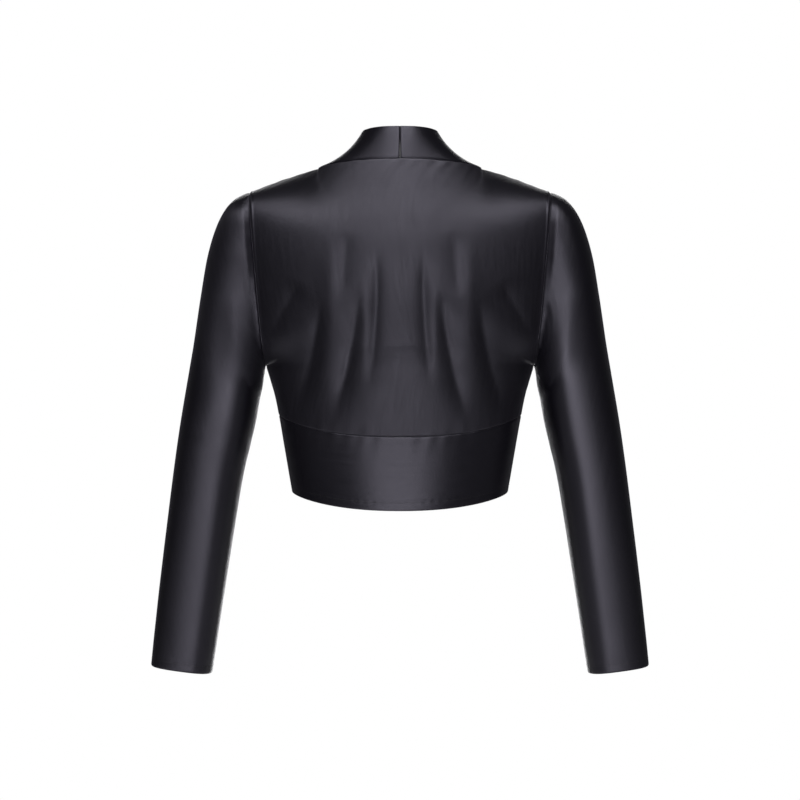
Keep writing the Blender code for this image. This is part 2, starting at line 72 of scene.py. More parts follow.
# level, y and z of the back panel along its centre
CENTRE_BACK = [
    (0.00, 0.0600, 0.0060),
    (0.15, 0.0730, -0.0280),
    (0.35, 0.0900, -0.0720),
    (0.60, 0.1040, -0.1250),
    (0.80, 0.1090, -0.1750),
    (1.00, 0.1080, -0.2250),
    (1.35, 0.1030, -0.2640),
    (1.70, 0.0960, -0.3020),
    (2.00, 0.0900, -0.3350),
    (2.50, 0.0880, -0.3800),
    (3.00, 0.0900, -0.4240),
]

# level, x, y and z of the front panels' inner edge, where the collar is sewn on
FRONT_SEAM = [
    (0.00, 0.1020, 0.0000, -0.0005),
    (0.15, 0.1005, -0.0330, -0.0280),
    (0.35, 0.0960, -0.0670, -0.0720),
    (0.60, 0.0880, -0.0970, -0.1280),
    (0.80, 0.0820, -0.1100, -0.1750),
    (1.00, 0.0780, -0.1130, -0.2160),
    (1.50, 0.0720, -0.1040, -0.2560),
    (2.00, 0.0690, -0.0930, -0.2910),
    (3.00, 0.0670, -0.0920, -0.3890),
]

# level, y and z of the front surface on the centre line, which the front edges stop short of
CENTRE_FRONT = [
    (2.00, -0.1020, -0.2900),
    (3.00, -0.1010, -0.3880),
]

# z and x of the side seam, from the hem to the underarm
SIDE_SEAM = [
    (-0.4050, 0.1348),
    (-0.3900, 0.1388),
    (-0.3650, 0.1428),
    (-0.3400, 0.1463),
    (-0.3090, 0.1513),
    (-0.2900, 0.1553),
    (-0.2700, 0.1603),
    (-0.2470, 0.1672),
]

# level, height of the oval at the panel's edge as a part of its middle, and roundness of its
# corners
SECTION_FORM = [
    (0.00, 0.450, 1.90),
    (0.30, 0.460, 2.10),
    (0.60, 0.425, 2.25),
    (0.85, 0.335, 2.25),
    (1.00, 0.270, 2.20),
    (1.30, 0.160, 2.20),
    (1.65, 0.080, 2.20),
    (2.00, 0.050, 2.20),
    (3.00, 0.050, 2.20),
]

# The top edge's form has faded out of the back panel at the fade level. On the way down it is
# averaged over more and more of the half width, up to the spread, with weights from a cosine
# wave of which the window is the part that is used.
TOP_FADE_LEVEL = 0.50
TOP_SPREAD = 0.45
TOP_SAMPLES = 25
TOP_WINDOW = 0.9

# The corner between armhole and side seam is rounded over this many levels in the middle of a
# panel, and less and less towards its edge.
SOFT_FROM_LEVEL = 0.30
EDGE_SPREAD = 0.80
EDGE_SAMPLES = 17
EDGE_LEAST_WEIGHT = 0.02

# place along the collar, x, y and z of its free edge, then how far it sags between seam and
# edge. Place 0 is the centre back, 1 the shoulder seam, 2 the underarm level and 3 the waist.
COLLAR_EDGE = [
    (0.00, 0.0000, 0.0500, 0.0460, -0.0010),
    (0.30, 0.0215, 0.0475, 0.0457, 0.0005),
    (0.60, 0.0390, 0.0355, 0.0445, 0.0035),
    (0.85, 0.0475, 0.0170, 0.0422, 0.0065),
    (1.00, 0.0495, 0.0000, 0.0375, 0.0070),
    (1.15, 0.0495, -0.0300, 0.0150, 0.0045),
    (1.35, 0.0450, -0.0700, -0.0380, 0.0010),
    (1.60, 0.0340, -0.1060, -0.1080, -0.0030),
    (1.80, 0.0260, -0.1200, -0.1640, -0.0035),
    (2.00, 0.0200, -0.1230, -0.2100, -0.0035),
    (2.50, 0.0160, -0.1130, -0.2530, -0.0030),
    (3.00, 0.0150, -0.1020, -0.2900, -0.0025),
]

# Sleeve sections from the armhole to the cuff: x and z of the outer edge, x and z of the inner
# edge, y of the middle, and half the depth from front to back
SLEEVE_SECTIONS = [
    (0.1875, -0.0310, 0.1672, -0.2470, 0.0000, 0.0560),
    (0.1953, -0.0330, 0.1679, -0.2482, 0.0000, 0.0566),
    (0.2041, -0.0383, 0.1685, -0.2495, 0.0000, 0.0573),
    (0.2145, -0.0493, 0.1688, -0.2510, 0.0000, 0.0582),
    (0.2243, -0.0665, 0.1691, -0.2527, 0.0000, 0.0590),
    (0.2323, -0.0865, 0.1694, -0.2546, 0.0000, 0.0595),
    (0.2388, -0.1095, 0.1697, -0.2568, 0.0000, 0.0599),
    (0.2440, -0.1345, 0.1702, -0.2594, 0.0000, 0.0603),
    (0.2486, -0.1615, 0.1706, -0.2625, 0.0000, 0.0605),
    (0.2529, -0.1905, 0.1709, -0.2665, 0.0000, 0.0606),
    (0.2573, -0.2205, 0.1717, -0.2725, 0.0000, 0.0604),
    (0.2623, -0.2500, 0.1732, -0.2805, 0.0000, 0.0599),
    (0.2670, -0.2770, 0.1764, -0.2965, -0.0005, 0.0591),
    (0.2715, -0.3030, 0.1808, -0.3190, -0.0010, 0.0578),
    (0.2758, -0.3295, 0.1866, -0.3440, -0.0020, 0.0563),
    (0.2798, -0.3565, 0.1932, -0.3700, -0.0030, 0.0543),
    (0.2836, -0.3835, 0.1987, -0.3970, -0.0045, 0.0523),
    (0.2875, -0.4125, 0.2036, -0.4260, -0.0065, 0.0503),
    (0.2915, -0.4425, 0.2086, -0.4560, -0.0090, 0.0483),
    (0.2956, -0.4725, 0.2134, -0.4860, -0.0120, 0.0463),
    (0.2996, -0.5025, 0.2182, -0.5155, -0.0155, 0.0443),
    (0.3036, -0.5325, 0.2231, -0.5455, -0.0195, 0.0428),
    (0.3073, -0.5625, 0.2280, -0.5755, -0.0235, 0.0413),
    (0.3111, -0.5935, 0.2328, -0.6060, -0.0275, 0.0403),
    (0.3146, -0.6240, 0.2376, -0.6345, -0.0315, 0.0393),
]
# Rows of the table over which a sleeve leaves the armhole's own line
SLEEVE_HOLD_ROWS = 2.0

print("shoulder width", round(2 * SHOULDER_TIP[0] * 1000), "mm")

# %% [markdown]
# ## Smooth curves through short tables
# A curve through a few given rows gives a clean line with little to type. A cubic curve that passes
# through each row, with its slope taken from the rows beside it, has no corners and does not swing out
# between the rows. Everything below reads its tables this way.

# %% Curve and vector helpers
def along(table, at):
    """Read a table's other columns at a value of its first, on a smooth curve."""
    rows = np.array(table, dtype=float)
    keys = rows[:, 0]
    values = rows[:, 1:]
    slopes = np.gradient(values, keys, axis=0)
    at = np.clip(np.asarray(at, dtype=float), keys[0], keys[-1])
    start = np.clip(np.searchsorted(keys, at, side="right") - 1, 0, len(keys) - 2)
    step = (keys[start + 1] - keys[start])[..., None]
    share = (at - keys[start])[..., None] / step
    rise = share * share * (3 - 2 * share)
    leave = share * (1 - share) ** 2
    arrive = share * share * (share - 1)
    between = values[start] * (1 - rise) + values[start + 1] * rise
    return between + step * (leave * slopes[start] + arrive * slopes[start + 1])


def unit(vector):
    """The same direction with length 1."""
    return vector / np.maximum(np.linalg.norm(vector, axis=-1, keepdims=True), 1e-12)


def ease(value):
    """Go smoothly from 0 to 1."""
    value = np.clip(value, 0.0, 1.0)
    return value * value * (3 - 2 * value)


def point(x, y, z):
    """Join coordinates into points."""
    return np.stack(np.broadcast_arrays(x, y, z), axis=-1)


print("the back at the underarm level is at y =", round(float(along(CENTRE_BACK, 1.0)[0]), 4))

# %% [markdown]
# ## The body: armhole, back and fronts
# The armhole is an oval that leans in towards the underarm. Each panel spans from it, and below
# it from the side seam, to the middle of the body on a flattened oval, as cloth does round a
# chest. Working each point out from the two edges means that neighbouring pieces share their
# seam exactly, as sewn pieces must.

# %% Body surfaces
def ring(angle):
    """Lean towards the outer edge and depth of an armhole's or sleeve's ring, from 0 to 1."""
    return (1 + np.cos(angle)) / 2, np.sin(angle) + ARMHOLE_SQUARENESS * np.sin(3 * angle)


def armhole(level, facing):
    """Points of the armhole, from the shoulder tip at level 0 to the underarm at level 1."""
    lean, oval = ring(math.pi * np.clip(level, 0.0, 1.0))
    depth = ARMHOLE_BACK_DEPTH if facing > 0 else ARMHOLE_FRONT_DEPTH
    x = UNDERARM[0] + (SHOULDER_TIP[0] - UNDERARM[0]) * lean
    z = UNDERARM[2] + (SHOULDER_TIP[2] - UNDERARM[2]) * lean
    return point(x, facing * depth * oval, z)


def outer_edge(level, facing):
    """Points of a panel's outer edge: the armhole, then the side seam down to the hem."""
    level = np.asarray(level, dtype=float)
    to_waist = np.clip(level - UNDERARM_LEVEL, 0.0, 1.0)
    to_hem = np.clip(level - WAIST_LEVEL, 0.0, 1.0)
    z = UNDERARM[2] + (WAIST_SEAM_SIDE - UNDERARM[2]) * to_waist
    z = z + (HEM_SIDE - WAIST_SEAM_SIDE) * to_hem
    side = point(along(SIDE_SEAM, z)[..., 0], 0.0, z)
    return np.where((level < UNDERARM_LEVEL)[..., None], armhole(level, facing), side)


def oval_rise(share, form):
    """Height of a flattened oval over its span, 1 in the middle."""
    power = form[..., 1]
    size = (1 - form[..., 0] ** power) ** (1 / power)
    reach = np.clip(size * share, 0.0, 1.0)
    return (1 - reach ** power) ** (1 / power)


def soft_edge(level, share, facing):
    """The outer edge, its corners rounded more and more away from it."""
    room = np.clip(np.minimum(level - SOFT_FROM_LEVEL, HEM_LEVEL - level), 0.0, None)
    spread = np.minimum(EDGE_SPREAD * (1 - share), room)
    steps = np.linspace(-1.0, 1.0, EDGE_SAMPLES)
    weights = np.cos(steps * math.pi / 2) ** 2 + EDGE_LEAST_WEIGHT
    total = sum(weight * outer_edge(level + spread * step, facing)
                for step, weight in zip(steps, weights))
    return total / weights.sum()


def section(level, share, facing, inner):
    """Points across a panel. The share is x as a part of the outer edge's x."""
    level, share = np.broadcast_arrays(np.asarray(level, dtype=float), share)
    edge = outer_edge(level, facing)
    soft = soft_edge(level, np.clip(share, 0.0, 1.0), facing)
    form = along(SECTION_FORM, level)
    start = inner[..., 0] / edge[..., 0]
    foot = oval_rise(1.0, form)
    bulge = (oval_rise(share, form) - foot) / (oval_rise(start, form) - foot)
    x = edge[..., 0] * share
    y = soft[..., 1] + (inner[..., 1] - soft[..., 1]) * bulge
    slant = (1 - share) / (1 - start)
    dip = np.clip(bulge, 0.0, 1.0) ** DIP_POWER
    lower = ease(level / UNDERARM_LEVEL)
    z = soft[..., 2] + (inner[..., 2] - soft[..., 2]) * (slant + (dip - slant) * lower)
    return point(x, y, z)


def shoulder_seam(share):
    """Points of the shoulder seam, from the neck point to the shoulder tip."""
    share = np.asarray(share, dtype=float)[..., None]
    line = NECK_POINT + (SHOULDER_TIP - NECK_POINT) * share
    bow = SHOULDER_CROWN * np.sin(math.pi * share)
    return line + bow * np.array([0.0, 0.0, 1.0])


def neck_seam(share):
    """Points of the back neck seam, from the centre back to the neck point."""
    angle = math.pi / 2 * np.asarray(share, dtype=float)
    x = NECK_POINT[0] * np.sin(angle)
    y = NECK_SEAM_BACK[1] * np.cos(angle)
    z = NECK_SEAM_BACK[2] * np.cos(angle) ** 2
    return point(x, y, z)


def top_shift(share):
    """How far the cut top edge lies from the drawn section, continued past both ends."""
    within = np.abs(share)
    past_tip = within > 1.0
    within = np.where(past_tip, 2.0 - within, within)
    start = np.array(CENTRE_BACK[0][1:])
    level = np.zeros_like(within)
    drawn = section(level, within, 1, point(0.0 * within, start[0], start[1]))
    on_neck = neck_seam(np.clip(within / NECK_SHARE, 0.0, 1.0))
    on_shoulder = shoulder_seam(np.clip((within - NECK_SHARE) / (1 - NECK_SHARE), 0.0, 1.0))
    cut = np.where((within < NECK_SHARE)[..., None], on_neck, on_shoulder)
    shift = cut - drawn
    shift[..., 0] *= np.where(share < 0.0, -1.0, 1.0)
    return shift * np.where(past_tip, -1.0, 1.0)[..., None]


def back_surface(level, share):
    """Points of the back on its +X half, without folds."""
    level, share = np.broadcast_arrays(level, share)
    centre = along(CENTRE_BACK, level)
    body = section(level, share, 1, point(0.0 * level, centre[..., 0], centre[..., 1]))
    steps = np.linspace(-1.0, 1.0, TOP_SAMPLES)
    weights = np.cos(steps * math.pi / 2 * TOP_WINDOW)
    spread = TOP_SPREAD * ease(level / TOP_FADE_LEVEL)
    shift = sum(weight * top_shift(share + spread * step) for step, weight in zip(steps, weights))
    fade = np.clip(1 - level / TOP_FADE_LEVEL, 0.0, 1.0) ** 2
    return body + shift / weights.sum() * fade[..., None]


def front_surface(level, share):
    """Points of a front on the +X side. Share 0 is the collar seam and 1 the outer edge."""
    level, share = np.broadcast_arrays(level, share)
    seam = along(FRONT_SEAM, level)
    edge = outer_edge(level, -1)
    start = seam[..., 0] / edge[..., 0]
    body = section(level, start + (1 - start) * share, -1, seam)
    straight = NECK_POINT + (SHOULDER_TIP - NECK_POINT) * share[..., None]
    bow = shoulder_seam(share) - straight
    fade = np.clip(1 - level / TOP_FADE_LEVEL, 0.0, 1.0) ** 3
    return body + bow * fade[..., None]


print("underarm to shoulder tip:", round(1000 * float(SHOULDER_TIP[2] - UNDERARM[2])), "mm")

# %% [markdown]
# ## The collar and the sleeves
# The collar is a folded band. It stands up behind the neck, leans in a little, and lies over at
# the fronts, so it is worked out as the strip between its seam and a free edge that is drawn in
# space. A sleeve is a tube of ovals. Its first ring is the armhole itself, because a set-in
# sleeve takes the armhole's form and only then its own.

# %% Collar and sleeve surfaces
def collar_direction(place):
    """Unit vectors along the collar's free edge, from the centre back to the waist."""
    nudge = 0.01
    later = along(COLLAR_EDGE, place + nudge)[..., :3]
    sooner = along(COLLAR_EDGE, place - nudge)[..., :3]
    return unit(later - sooner)


def collar_surface(place, across):
    """Points of the collar on the +X side. Across is 0 on the seam and 1 on the free edge."""
    place, across = np.broadcast_arrays(place, across)
    around_neck = neck_seam(np.clip(place, 0.0, 1.0))
    down_front = along(FRONT_SEAM, np.clip(place - 1.0, 0.0, WAIST_LEVEL))
    seam = np.where((place < 1.0)[..., None], around_neck, down_front)
    rule = along(COLLAR_EDGE, place)
    rib = rule[..., :3] - seam
    inward = unit(np.cross(collar_direction(place), rib))
    hang = (4 * across * (1 - across) * rule[..., 3])[..., None]
    return seam + rib * across[..., None] + inward * hang


def sleeve_surface(station, turn):
    """Points of the sleeve on the +X side.

    The station counts the rows of the table. The turn runs from 0 on the outer edge over the
    front to 1 on the inner edge, and over the back to 2.
    """
    station, turn = np.broadcast_arrays(station, turn)
    rows = [(number,) + row for number, row in enumerate(SLEEVE_SECTIONS)]
    read = along(rows, station)
    outer = read[..., (0, 1)]
    inner = read[..., (2, 3)]
    lean, oval = ring(math.pi * turn)
    middle = inner + (outer - inner) * lean[..., None]
    y = read[..., 4] - read[..., 5] * oval
    tube = point(middle[..., 0], y, middle[..., 1])
    level = np.where(turn > 1.0, 2.0 - turn, turn)
    back = armhole(level, 1)
    front = armhole(level, -1)
    seam = np.where((turn > 1.0)[..., None], back, front)
    hold = np.clip(1 - station / SLEEVE_HOLD_ROWS, 0.0, 1.0)[..., None]
    return tube + (seam - tube) * hold


print("sleeve rings in the table:", len(SLEEVE_SECTIONS))

# %% [markdown]
# ## Folds
# Satin is smooth and light, so worn cloth shows long soft folds where it is pulled: down the
# back into the waist seam, out from the armpit, and round the inner elbow. A cloth simulation
# would need a body to hang on, and it would not put the folds where they are. Here each fold is
# a curved line, and a table lists them as a tailor would chalk them. A fold's sides have a
# slope, and its width changes along it, so it deepens where it widens. Drawn cloth folds to a
# narrow valley between round ridges, so a valley's bottom is sharper than a ridge's crest.

# %% Fold tables
# Each row: x and z of the upper end, of the middle and of the lower end, then the slope of the
# sides (negative for a valley) and the width at the upper and at the lower end. The places are
# as seen from straight behind or in front, on the wearer's left half.
BACK_FOLDS = [
    (0.0640, -0.0850, 0.0670, -0.1250, 0.0715, -0.1750, -0.18, 0.0120, 0.0110),
    (0.0490, -0.1550, 0.0610, -0.2350, 0.0850, -0.3250, -0.48, 0.0055, 0.0160),
    (0.0300, -0.1000, 0.0290, -0.1850, 0.0390, -0.2850, -0.46, 0.0060, 0.0085),
    (0.0940, -0.1650, 0.1080, -0.2350, 0.1330, -0.3200, -0.44, 0.0065, 0.0160),
    (0.1210, -0.1450, 0.1400, -0.1780, 0.1620, -0.2150, -0.34, 0.0130, 0.0070),
    (0.0850, -0.0750, 0.0840, -0.1800, 0.0970, -0.2900, 0.22, 0.0100, 0.0100),
    (0.0440, -0.1400, 0.0420, -0.1950, 0.0470, -0.2850, 0.20, 0.0050, 0.0060),
]
FRONT_FOLDS = [
    (0.0880, -0.2100, 0.0860, -0.2500, 0.0820, -0.2900, 0.20, 0.0070, 0.0090),
    (0.1060, -0.1900, 0.1030, -0.2400, 0.0990, -0.2950, -0.28, 0.0050, 0.0110),
    (0.1260, -0.2050, 0.1230, -0.2500, 0.1180, -0.2980, 0.20, 0.0080, 0.0080),
    (0.1300, -0.1500, 0.1420, -0.1850, 0.1560, -0.2200, -0.26, 0.0110, 0.0060),
]
SLEEVE_BACK_FOLDS = [
    (0.1860, -0.0300, 0.1850, -0.0900, 0.1830, -0.1600, 0.13, 0.0280, 0.0280),
    (0.1780, -0.1600, 0.1715, -0.2050, 0.1665, -0.2450, -0.34, 0.0050, 0.0050),
    (0.2060, -0.1500, 0.2030, -0.2000, 0.2010, -0.2650, 0.14, 0.0100, 0.0090),
    (0.1930, -0.2540, 0.1800, -0.2800, 0.1620, -0.2980, -0.28, 0.0055, 0.0070),
    (0.1900, -0.3480, 0.1800, -0.3380, 0.1680, -0.3250, -0.16, 0.0060, 0.0060),
]
SLEEVE_FRONT_FOLDS = [
    (0.1760, -0.2800, 0.2050, -0.2950, 0.2400, -0.3250, -0.26, 0.0080, 0.0060),
    (0.1850, -0.3450, 0.2100, -0.3350, 0.2400, -0.3100, -0.24, 0.0070, 0.0060),
    (0.2020, -0.1000, 0.1920, -0.1800, 0.1850, -0.2500, -0.20, 0.0100, 0.0080),
]
# Straight runs that stand for a fold's curve, the share of its length over which each end fades,
# and the rounding of its middle as a part of its width
FOLD_SAMPLES = 24
FOLD_FADE = 0.35
VALLEY_CORE = 0.25
RIDGE_CORE = 0.80


def fold_relief(x, z, folds):
    """Height of all the folds of a table at places on a panel."""
    relief = np.zeros_like(x)
    share = np.linspace(0.0, 1.0, FOLD_SAMPLES + 1)[:, None]
    for *places, slope, upper_width, lower_width in folds:
        upper, middle, lower = np.array(places).reshape(3, 2)
        bend = 2 * middle - (upper + lower) / 2
        line = (1 - share) ** 2 * upper + 2 * share * (1 - share) * bend + share ** 2 * lower
        nearest = np.full(x.shape, np.inf)
        reached = np.zeros(x.shape)
        for number in range(FOLD_SAMPLES):
            start_x, start_z = line[number]
            run_x, run_z = line[number + 1] - line[number]
            length = run_x ** 2 + run_z ** 2
            part = ((x - start_x) * run_x + (z - start_z) * run_z) / length
            part = np.clip(part, 0.0, 1.0)
            gap = np.hypot(x - start_x - part * run_x, z - start_z - part * run_z)
            closer = gap < nearest
            nearest = np.where(closer, gap, nearest)
            reached = np.where(closer, (number + part) / FOLD_SAMPLES, reached)
        fade = ease(reached / FOLD_FADE) * ease((1 - reached) / FOLD_FADE)
        width = upper_width + (lower_width - upper_width) * reached
        core = VALLEY_CORE if slope < 0 else RIDGE_CORE
        away = np.hypot(nearest / width, core) - core
        relief = relief + slope * width * fade * np.exp(-away)
    return relief


FOLD_TABLES = (BACK_FOLDS, FRONT_FOLDS, SLEEVE_BACK_FOLDS, SLEEVE_FRONT_FOLDS)
print("folds in the tables:", sum(len(table) for table in FOLD_TABLES))

# %% [markdown]
# ## Grids of points
# Every piece is a grid of points: rows go down it and columns across. The rows and columns are
# closer together beside the seams, because the cloth rolls into a seam within a couple of
# millimetres, and a coarse grid would miss that.

# %% Rows and columns
FINE_ARMHOLE = 80
FINE_SIDE = 30
FINE_NECK = 40
FINE_SHOULDER = 56
FINE_BAND = 34
FINE_COLLAR = 26
ROWS_PER_SECTION = 8
SEAM_ROWS = np.array([0.0005, 0.0011, 0.0018, 0.0027])
SEAM_ROOM = 1.2


def seam_steps(steps, length, start=True, end=True):
    """Even steps from 0 to 1, with extra ones close to a seam at either end."""
    even = np.linspace(0.0, 1.0, steps + 1)
    near = SEAM_ROWS / length
    low = near[-1] * SEAM_ROOM
    high = 1 - low
    return np.concatenate([
        [0.0],
        near if start else even[(even > 0) & (even <= low)],
        even[(even > low) & (even < high)],
        (1 - near)[::-1] if end else even[(even >= high) & (even < 1)],
        [1.0],
    ])


# Rough lengths of the pieces in the direction that is stepped
LEVEL_LENGTH = 0.22
SIDE_LENGTH = 0.085
ACROSS_LENGTH = 0.15
BAND_LENGTH = 0.095
COLLAR_WIDTH = 0.065
SLEEVE_LENGTH = 0.60

armhole_levels = seam_steps(FINE_ARMHOLE, LEVEL_LENGTH, end=False)
side_levels = seam_steps(FINE_SIDE, SIDE_LENGTH, start=False)
levels = np.concatenate([armhole_levels, UNDERARM_LEVEL + side_levels[1:]])
neck_places = seam_steps(FINE_NECK, NECK_POINT[0], end=False)
even_outward = seam_steps(FINE_SHOULDER, ACROSS_LENGTH)
outward = np.sin(math.pi / 2 * even_outward)
print("rows on the back:", len(levels), "columns:", 2 * (len(neck_places) + len(outward)) - 3)

# %% Grids of every piece
def mirrored(grid):
    """The other side's grid, with its faces still outwards."""
    return (grid * np.array([-1.0, 1.0, 1.0]))[:, ::-1]


def both_halves(grid):
    """One grid over the whole width, from a half that starts on the centre line."""
    return np.concatenate([mirrored(grid), grid[:, 1:]], axis=1)


def make_grids():
    """Outer points of every piece without folds, in rows from top to bottom."""
    past_neck = NECK_SHARE + (1 - NECK_SHARE) * outward[1:]
    shares = np.concatenate([neck_places * NECK_SHARE, past_neck])
    back = back_surface(levels[:, None], shares[None, :])
    front = front_surface(levels[:, None], outward[::-1][None, :])
    places = np.concatenate([neck_places, 1.0 + levels[1:]])
    across = seam_steps(FINE_COLLAR, COLLAR_WIDTH)[::-1]
    collar = collar_surface(places[None, :], across[:, None])

    drops = seam_steps(FINE_BAND, BAND_LENGTH)
    hem = back_surface(np.array([HEM_LEVEL]), shares)
    waist = back_surface(np.array([WAIST_LEVEL]), shares)
    pull = along(CENTRE_BACK, WAIST_LEVEL + drops)[:, 0]
    straight = pull[0] + (pull[-1] - pull[0]) * drops
    band_back = waist + (hem - waist) * drops[:, None, None]
    band_back[..., 1] += (pull - straight)[:, None] * (1 - shares ** 2)

    top_row = np.concatenate([front[-1], collar[::-1, -1][1:]])
    waist_x = outer_edge(np.array(WAIST_LEVEL), -1)[0]
    hem_shares = top_row[:, 0] / waist_x
    centre = along(CENTRE_FRONT, HEM_LEVEL)
    inner = point(np.zeros_like(hem_shares), centre[0], centre[1])
    hem_front = section(np.full_like(hem_shares, HEM_LEVEL), hem_shares, -1, inner)
    band_front = top_row + (hem_front - top_row) * drops[:, None, None]

    sections = len(SLEEVE_SECTIONS) - 1
    stations = seam_steps(sections * ROWS_PER_SECTION, SLEEVE_LENGTH) * sections
    turns = np.concatenate([armhole_levels, 2.0 - armhole_levels[::-1][1:-1]])
    sleeve = sleeve_surface(stations[:, None], turns[None, :])
    return {
        "back": both_halves(back),
        "front_left": front,
        "collar_left": collar,
        "band_back": both_halves(band_back),
        "band_front_left": band_front,
        "sleeve_left": sleeve,
    }


base = make_grids()
print("points:", {name: grid.shape[:2] for name, grid in base.items()})

# %% [markdown]
# ## Directions at the seams
# Where two pieces are sewn, both must point the same way at the seam, or their walls would
# cross or gape. The faces round each seam point are gathered by place and averaged. The body's
# pieces count as one against a sleeve, so an armhole seam looks the same from both sides.

# %% Normals and shared seam directions
SEWN = {
    "back": ("top", "bottom", "first", "last"),
    "front_left": ("top", "bottom", "first", "last"),
    "front_right": ("top", "bottom", "first", "last"),
    "collar_left": ("bottom", "first", "last"),
    "collar_right": ("bottom", "first", "last"),
    "band_back": ("top", "first", "last"),
    "band_front_left": ("top", "first"),
    "band_front_right": ("top", "last"),
    "sleeve_left": ("top",),
    "sleeve_right": ("top",),
}
TUBES = ("sleeve_left", "sleeve_right")
EDGES = {"top": np.s_[0], "bottom": np.s_[-1], "first": np.s_[:, 0], "last": np.s_[:, -1]}
# Seam points that round to the same step of a lattice this fine count as one place.
PLACES_PER_METRE = 43210


def grid_normals(grid, closed):
    """Unit normals at a grid's points, from the faces round each."""
    if closed:
        grid = np.concatenate([grid, grid[:, :1]], axis=1)
    faces = np.cross(grid[1:, 1:] - grid[:-1, :-1], grid[1:, :-1] - grid[:-1, 1:])
    sums = np.zeros_like(grid)
    sums[:-1, :-1] += faces
    sums[:-1, 1:] += faces
    sums[1:, 1:] += faces
    sums[1:, :-1] += faces
    if closed:
        sums[:, 0] += sums[:, -1]
        sums = sums[:, :-1]
    return unit(sums)


def place_key(place):
    """A name for a place, the same for the pieces that are sewn together there."""
    return tuple(int(round(value * PLACES_PER_METRE)) for value in place)


def seam_directions(grids):
    """The direction that the pieces at each seam place share."""
    gathered = {}
    for name, grid in grids.items():
        tube = name in TUBES
        normals = grid_normals(grid, tube)
        for edge in SEWN[name]:
            for place, normal in zip(grid[EDGES[edge]], normals[EDGES[edge]]):
                pair = gathered.setdefault(place_key(place), ([], []))
                pair[tube].append(normal)
    shared = {}
    for key, pair in gathered.items():
        shared[key] = unit(sum(unit(np.sum(side, axis=0)) for side in pair if side))
    return shared


def directions_of(name, grid, shared, places):
    """Outward directions of a piece, with the shared ones along its sewn edges."""
    directions = grid_normals(grid, name in TUBES)
    for edge in SEWN[name]:
        line = [shared[place_key(place)] for place in places[EDGES[edge]]]
        directions[EDGES[edge]] = np.array(line)
    return directions


base.update({name.replace("left", "right"): mirrored(grid)
             for name, grid in list(base.items()) if name.endswith("left")})
shared = seam_directions(base)
print("pieces:", len(base), "places along seams:", len(shared))

# %% [markdown]
# ## Relief: folds, rolled seams and small puckers
# Close to a seam the outer face rolls down to the stitches. The allowances of the armhole seam
# are pressed towards the body, so the body's edge stands up as a thin ridge there. The thread
# draws the cloth up a little, which shows as shallow uneven puckers, and they fade within a
# finger's width. Hem and cuff edges are turned up, so the cloth is double there, and the line
# of stitches pulls a shallow groove.

# %% Relief of a piece
ROLL_WIDTH = 0.0024
ROLL_DEPTH = 0.0009
FREE_WIDTH = 0.0020
FREE_DEPTH = 0.0005
RIDGE_HEIGHT = 0.0008
RIDGE_PLACE = 0.0034
RIDGE_WIDTH = 0.0014
SEAM_FADE = 0.010
WAIST_FADE = 0.006
ARMHOLE_MARGIN = 0.0005
PUCKER_HEIGHT = 0.00018
PUCKER_REACH = 0.012
PUCKER_SHIFT = 0.02
HEM_TURN = 0.0100
STITCH_GROOVE = 0.00030
STITCH_GROOVE_WIDTH = 0.0014
DIMPLE_SHARE = 0.5
DIMPLE_LENGTH = 0.0017
SIDE_BLEND = 2.0

# strength, length and start of the waves that make up the puckers
PUCKER_WAVES = [(1.0, 0.0031, 0.0), (0.7, 0.0047, 1.3), (0.9, 0.0113, 0.4)]


def edge_distances(grid):
    """Distance of each point from the four edges of its grid, along the cloth."""
    down = np.linalg.norm(np.diff(grid, axis=0), axis=-1)
    from_top = np.concatenate([np.zeros((1, grid.shape[1])), np.cumsum(down, axis=0)])
    across = np.linalg.norm(np.diff(grid, axis=1), axis=-1)
    from_first = np.concatenate([np.zeros((grid.shape[0], 1)), np.cumsum(across, axis=1)], axis=1)
    return {
        "top": from_top,
        "bottom": from_top[-1] - from_top,
        "first": from_first,
        "last": from_first[:, -1:] - from_first,
    }


def puckers(along_seam, from_seam):
    """Shallow uneven waves across a seam, from three wave lengths that never line up."""
    waves = sum(strength * np.sin(along_seam / length + start)
                for strength, length, start in PUCKER_WAVES)
    return PUCKER_HEIGHT * waves * np.exp(-from_seam / PUCKER_REACH)


def seam_relief(name, grid, distances):
    """Rolled edges, the armhole's ridge, puckers and stitch grooves."""
    relief = np.zeros(grid.shape[:2])
    for edge in SEWN[name]:
        gap = distances[edge]
        relief -= ROLL_DEPTH * np.clip(1 - gap / ROLL_WIDTH, 0.0, 1.0) ** 2
    body = name.startswith(("back", "front"))
    if body:
        for edge in ("first", "last"):
            on_armhole = np.abs(grid[:, EDGES[edge][1], 0]) > UNDERARM[0] + ARMHOLE_MARGIN
            ridge = np.exp(-(((distances[edge] - RIDGE_PLACE) / RIDGE_WIDTH) ** 2))
            relief += RIDGE_HEIGHT * ridge * on_armhole[:, None]
    if "bottom" in SEWN[name] and body:
        relief += puckers(distances["first"], distances["bottom"])
    if "top" in SEWN[name] and not name.startswith("front"):
        relief += puckers(distances["first"] + PUCKER_SHIFT, distances["top"])
    if "bottom" not in SEWN[name]:
        gap = distances["bottom"]
        relief -= FREE_DEPTH * np.clip(1 - gap / FREE_WIDTH, 0.0, 1.0) ** 2
        groove = np.exp(-(((gap - HEM_TURN) / STITCH_GROOVE_WIDTH) ** 2))
        dimples = 1 + DIMPLE_SHARE * np.sin(distances["first"] / DIMPLE_LENGTH)
        relief -= STITCH_GROOVE * groove * dimples
    return relief


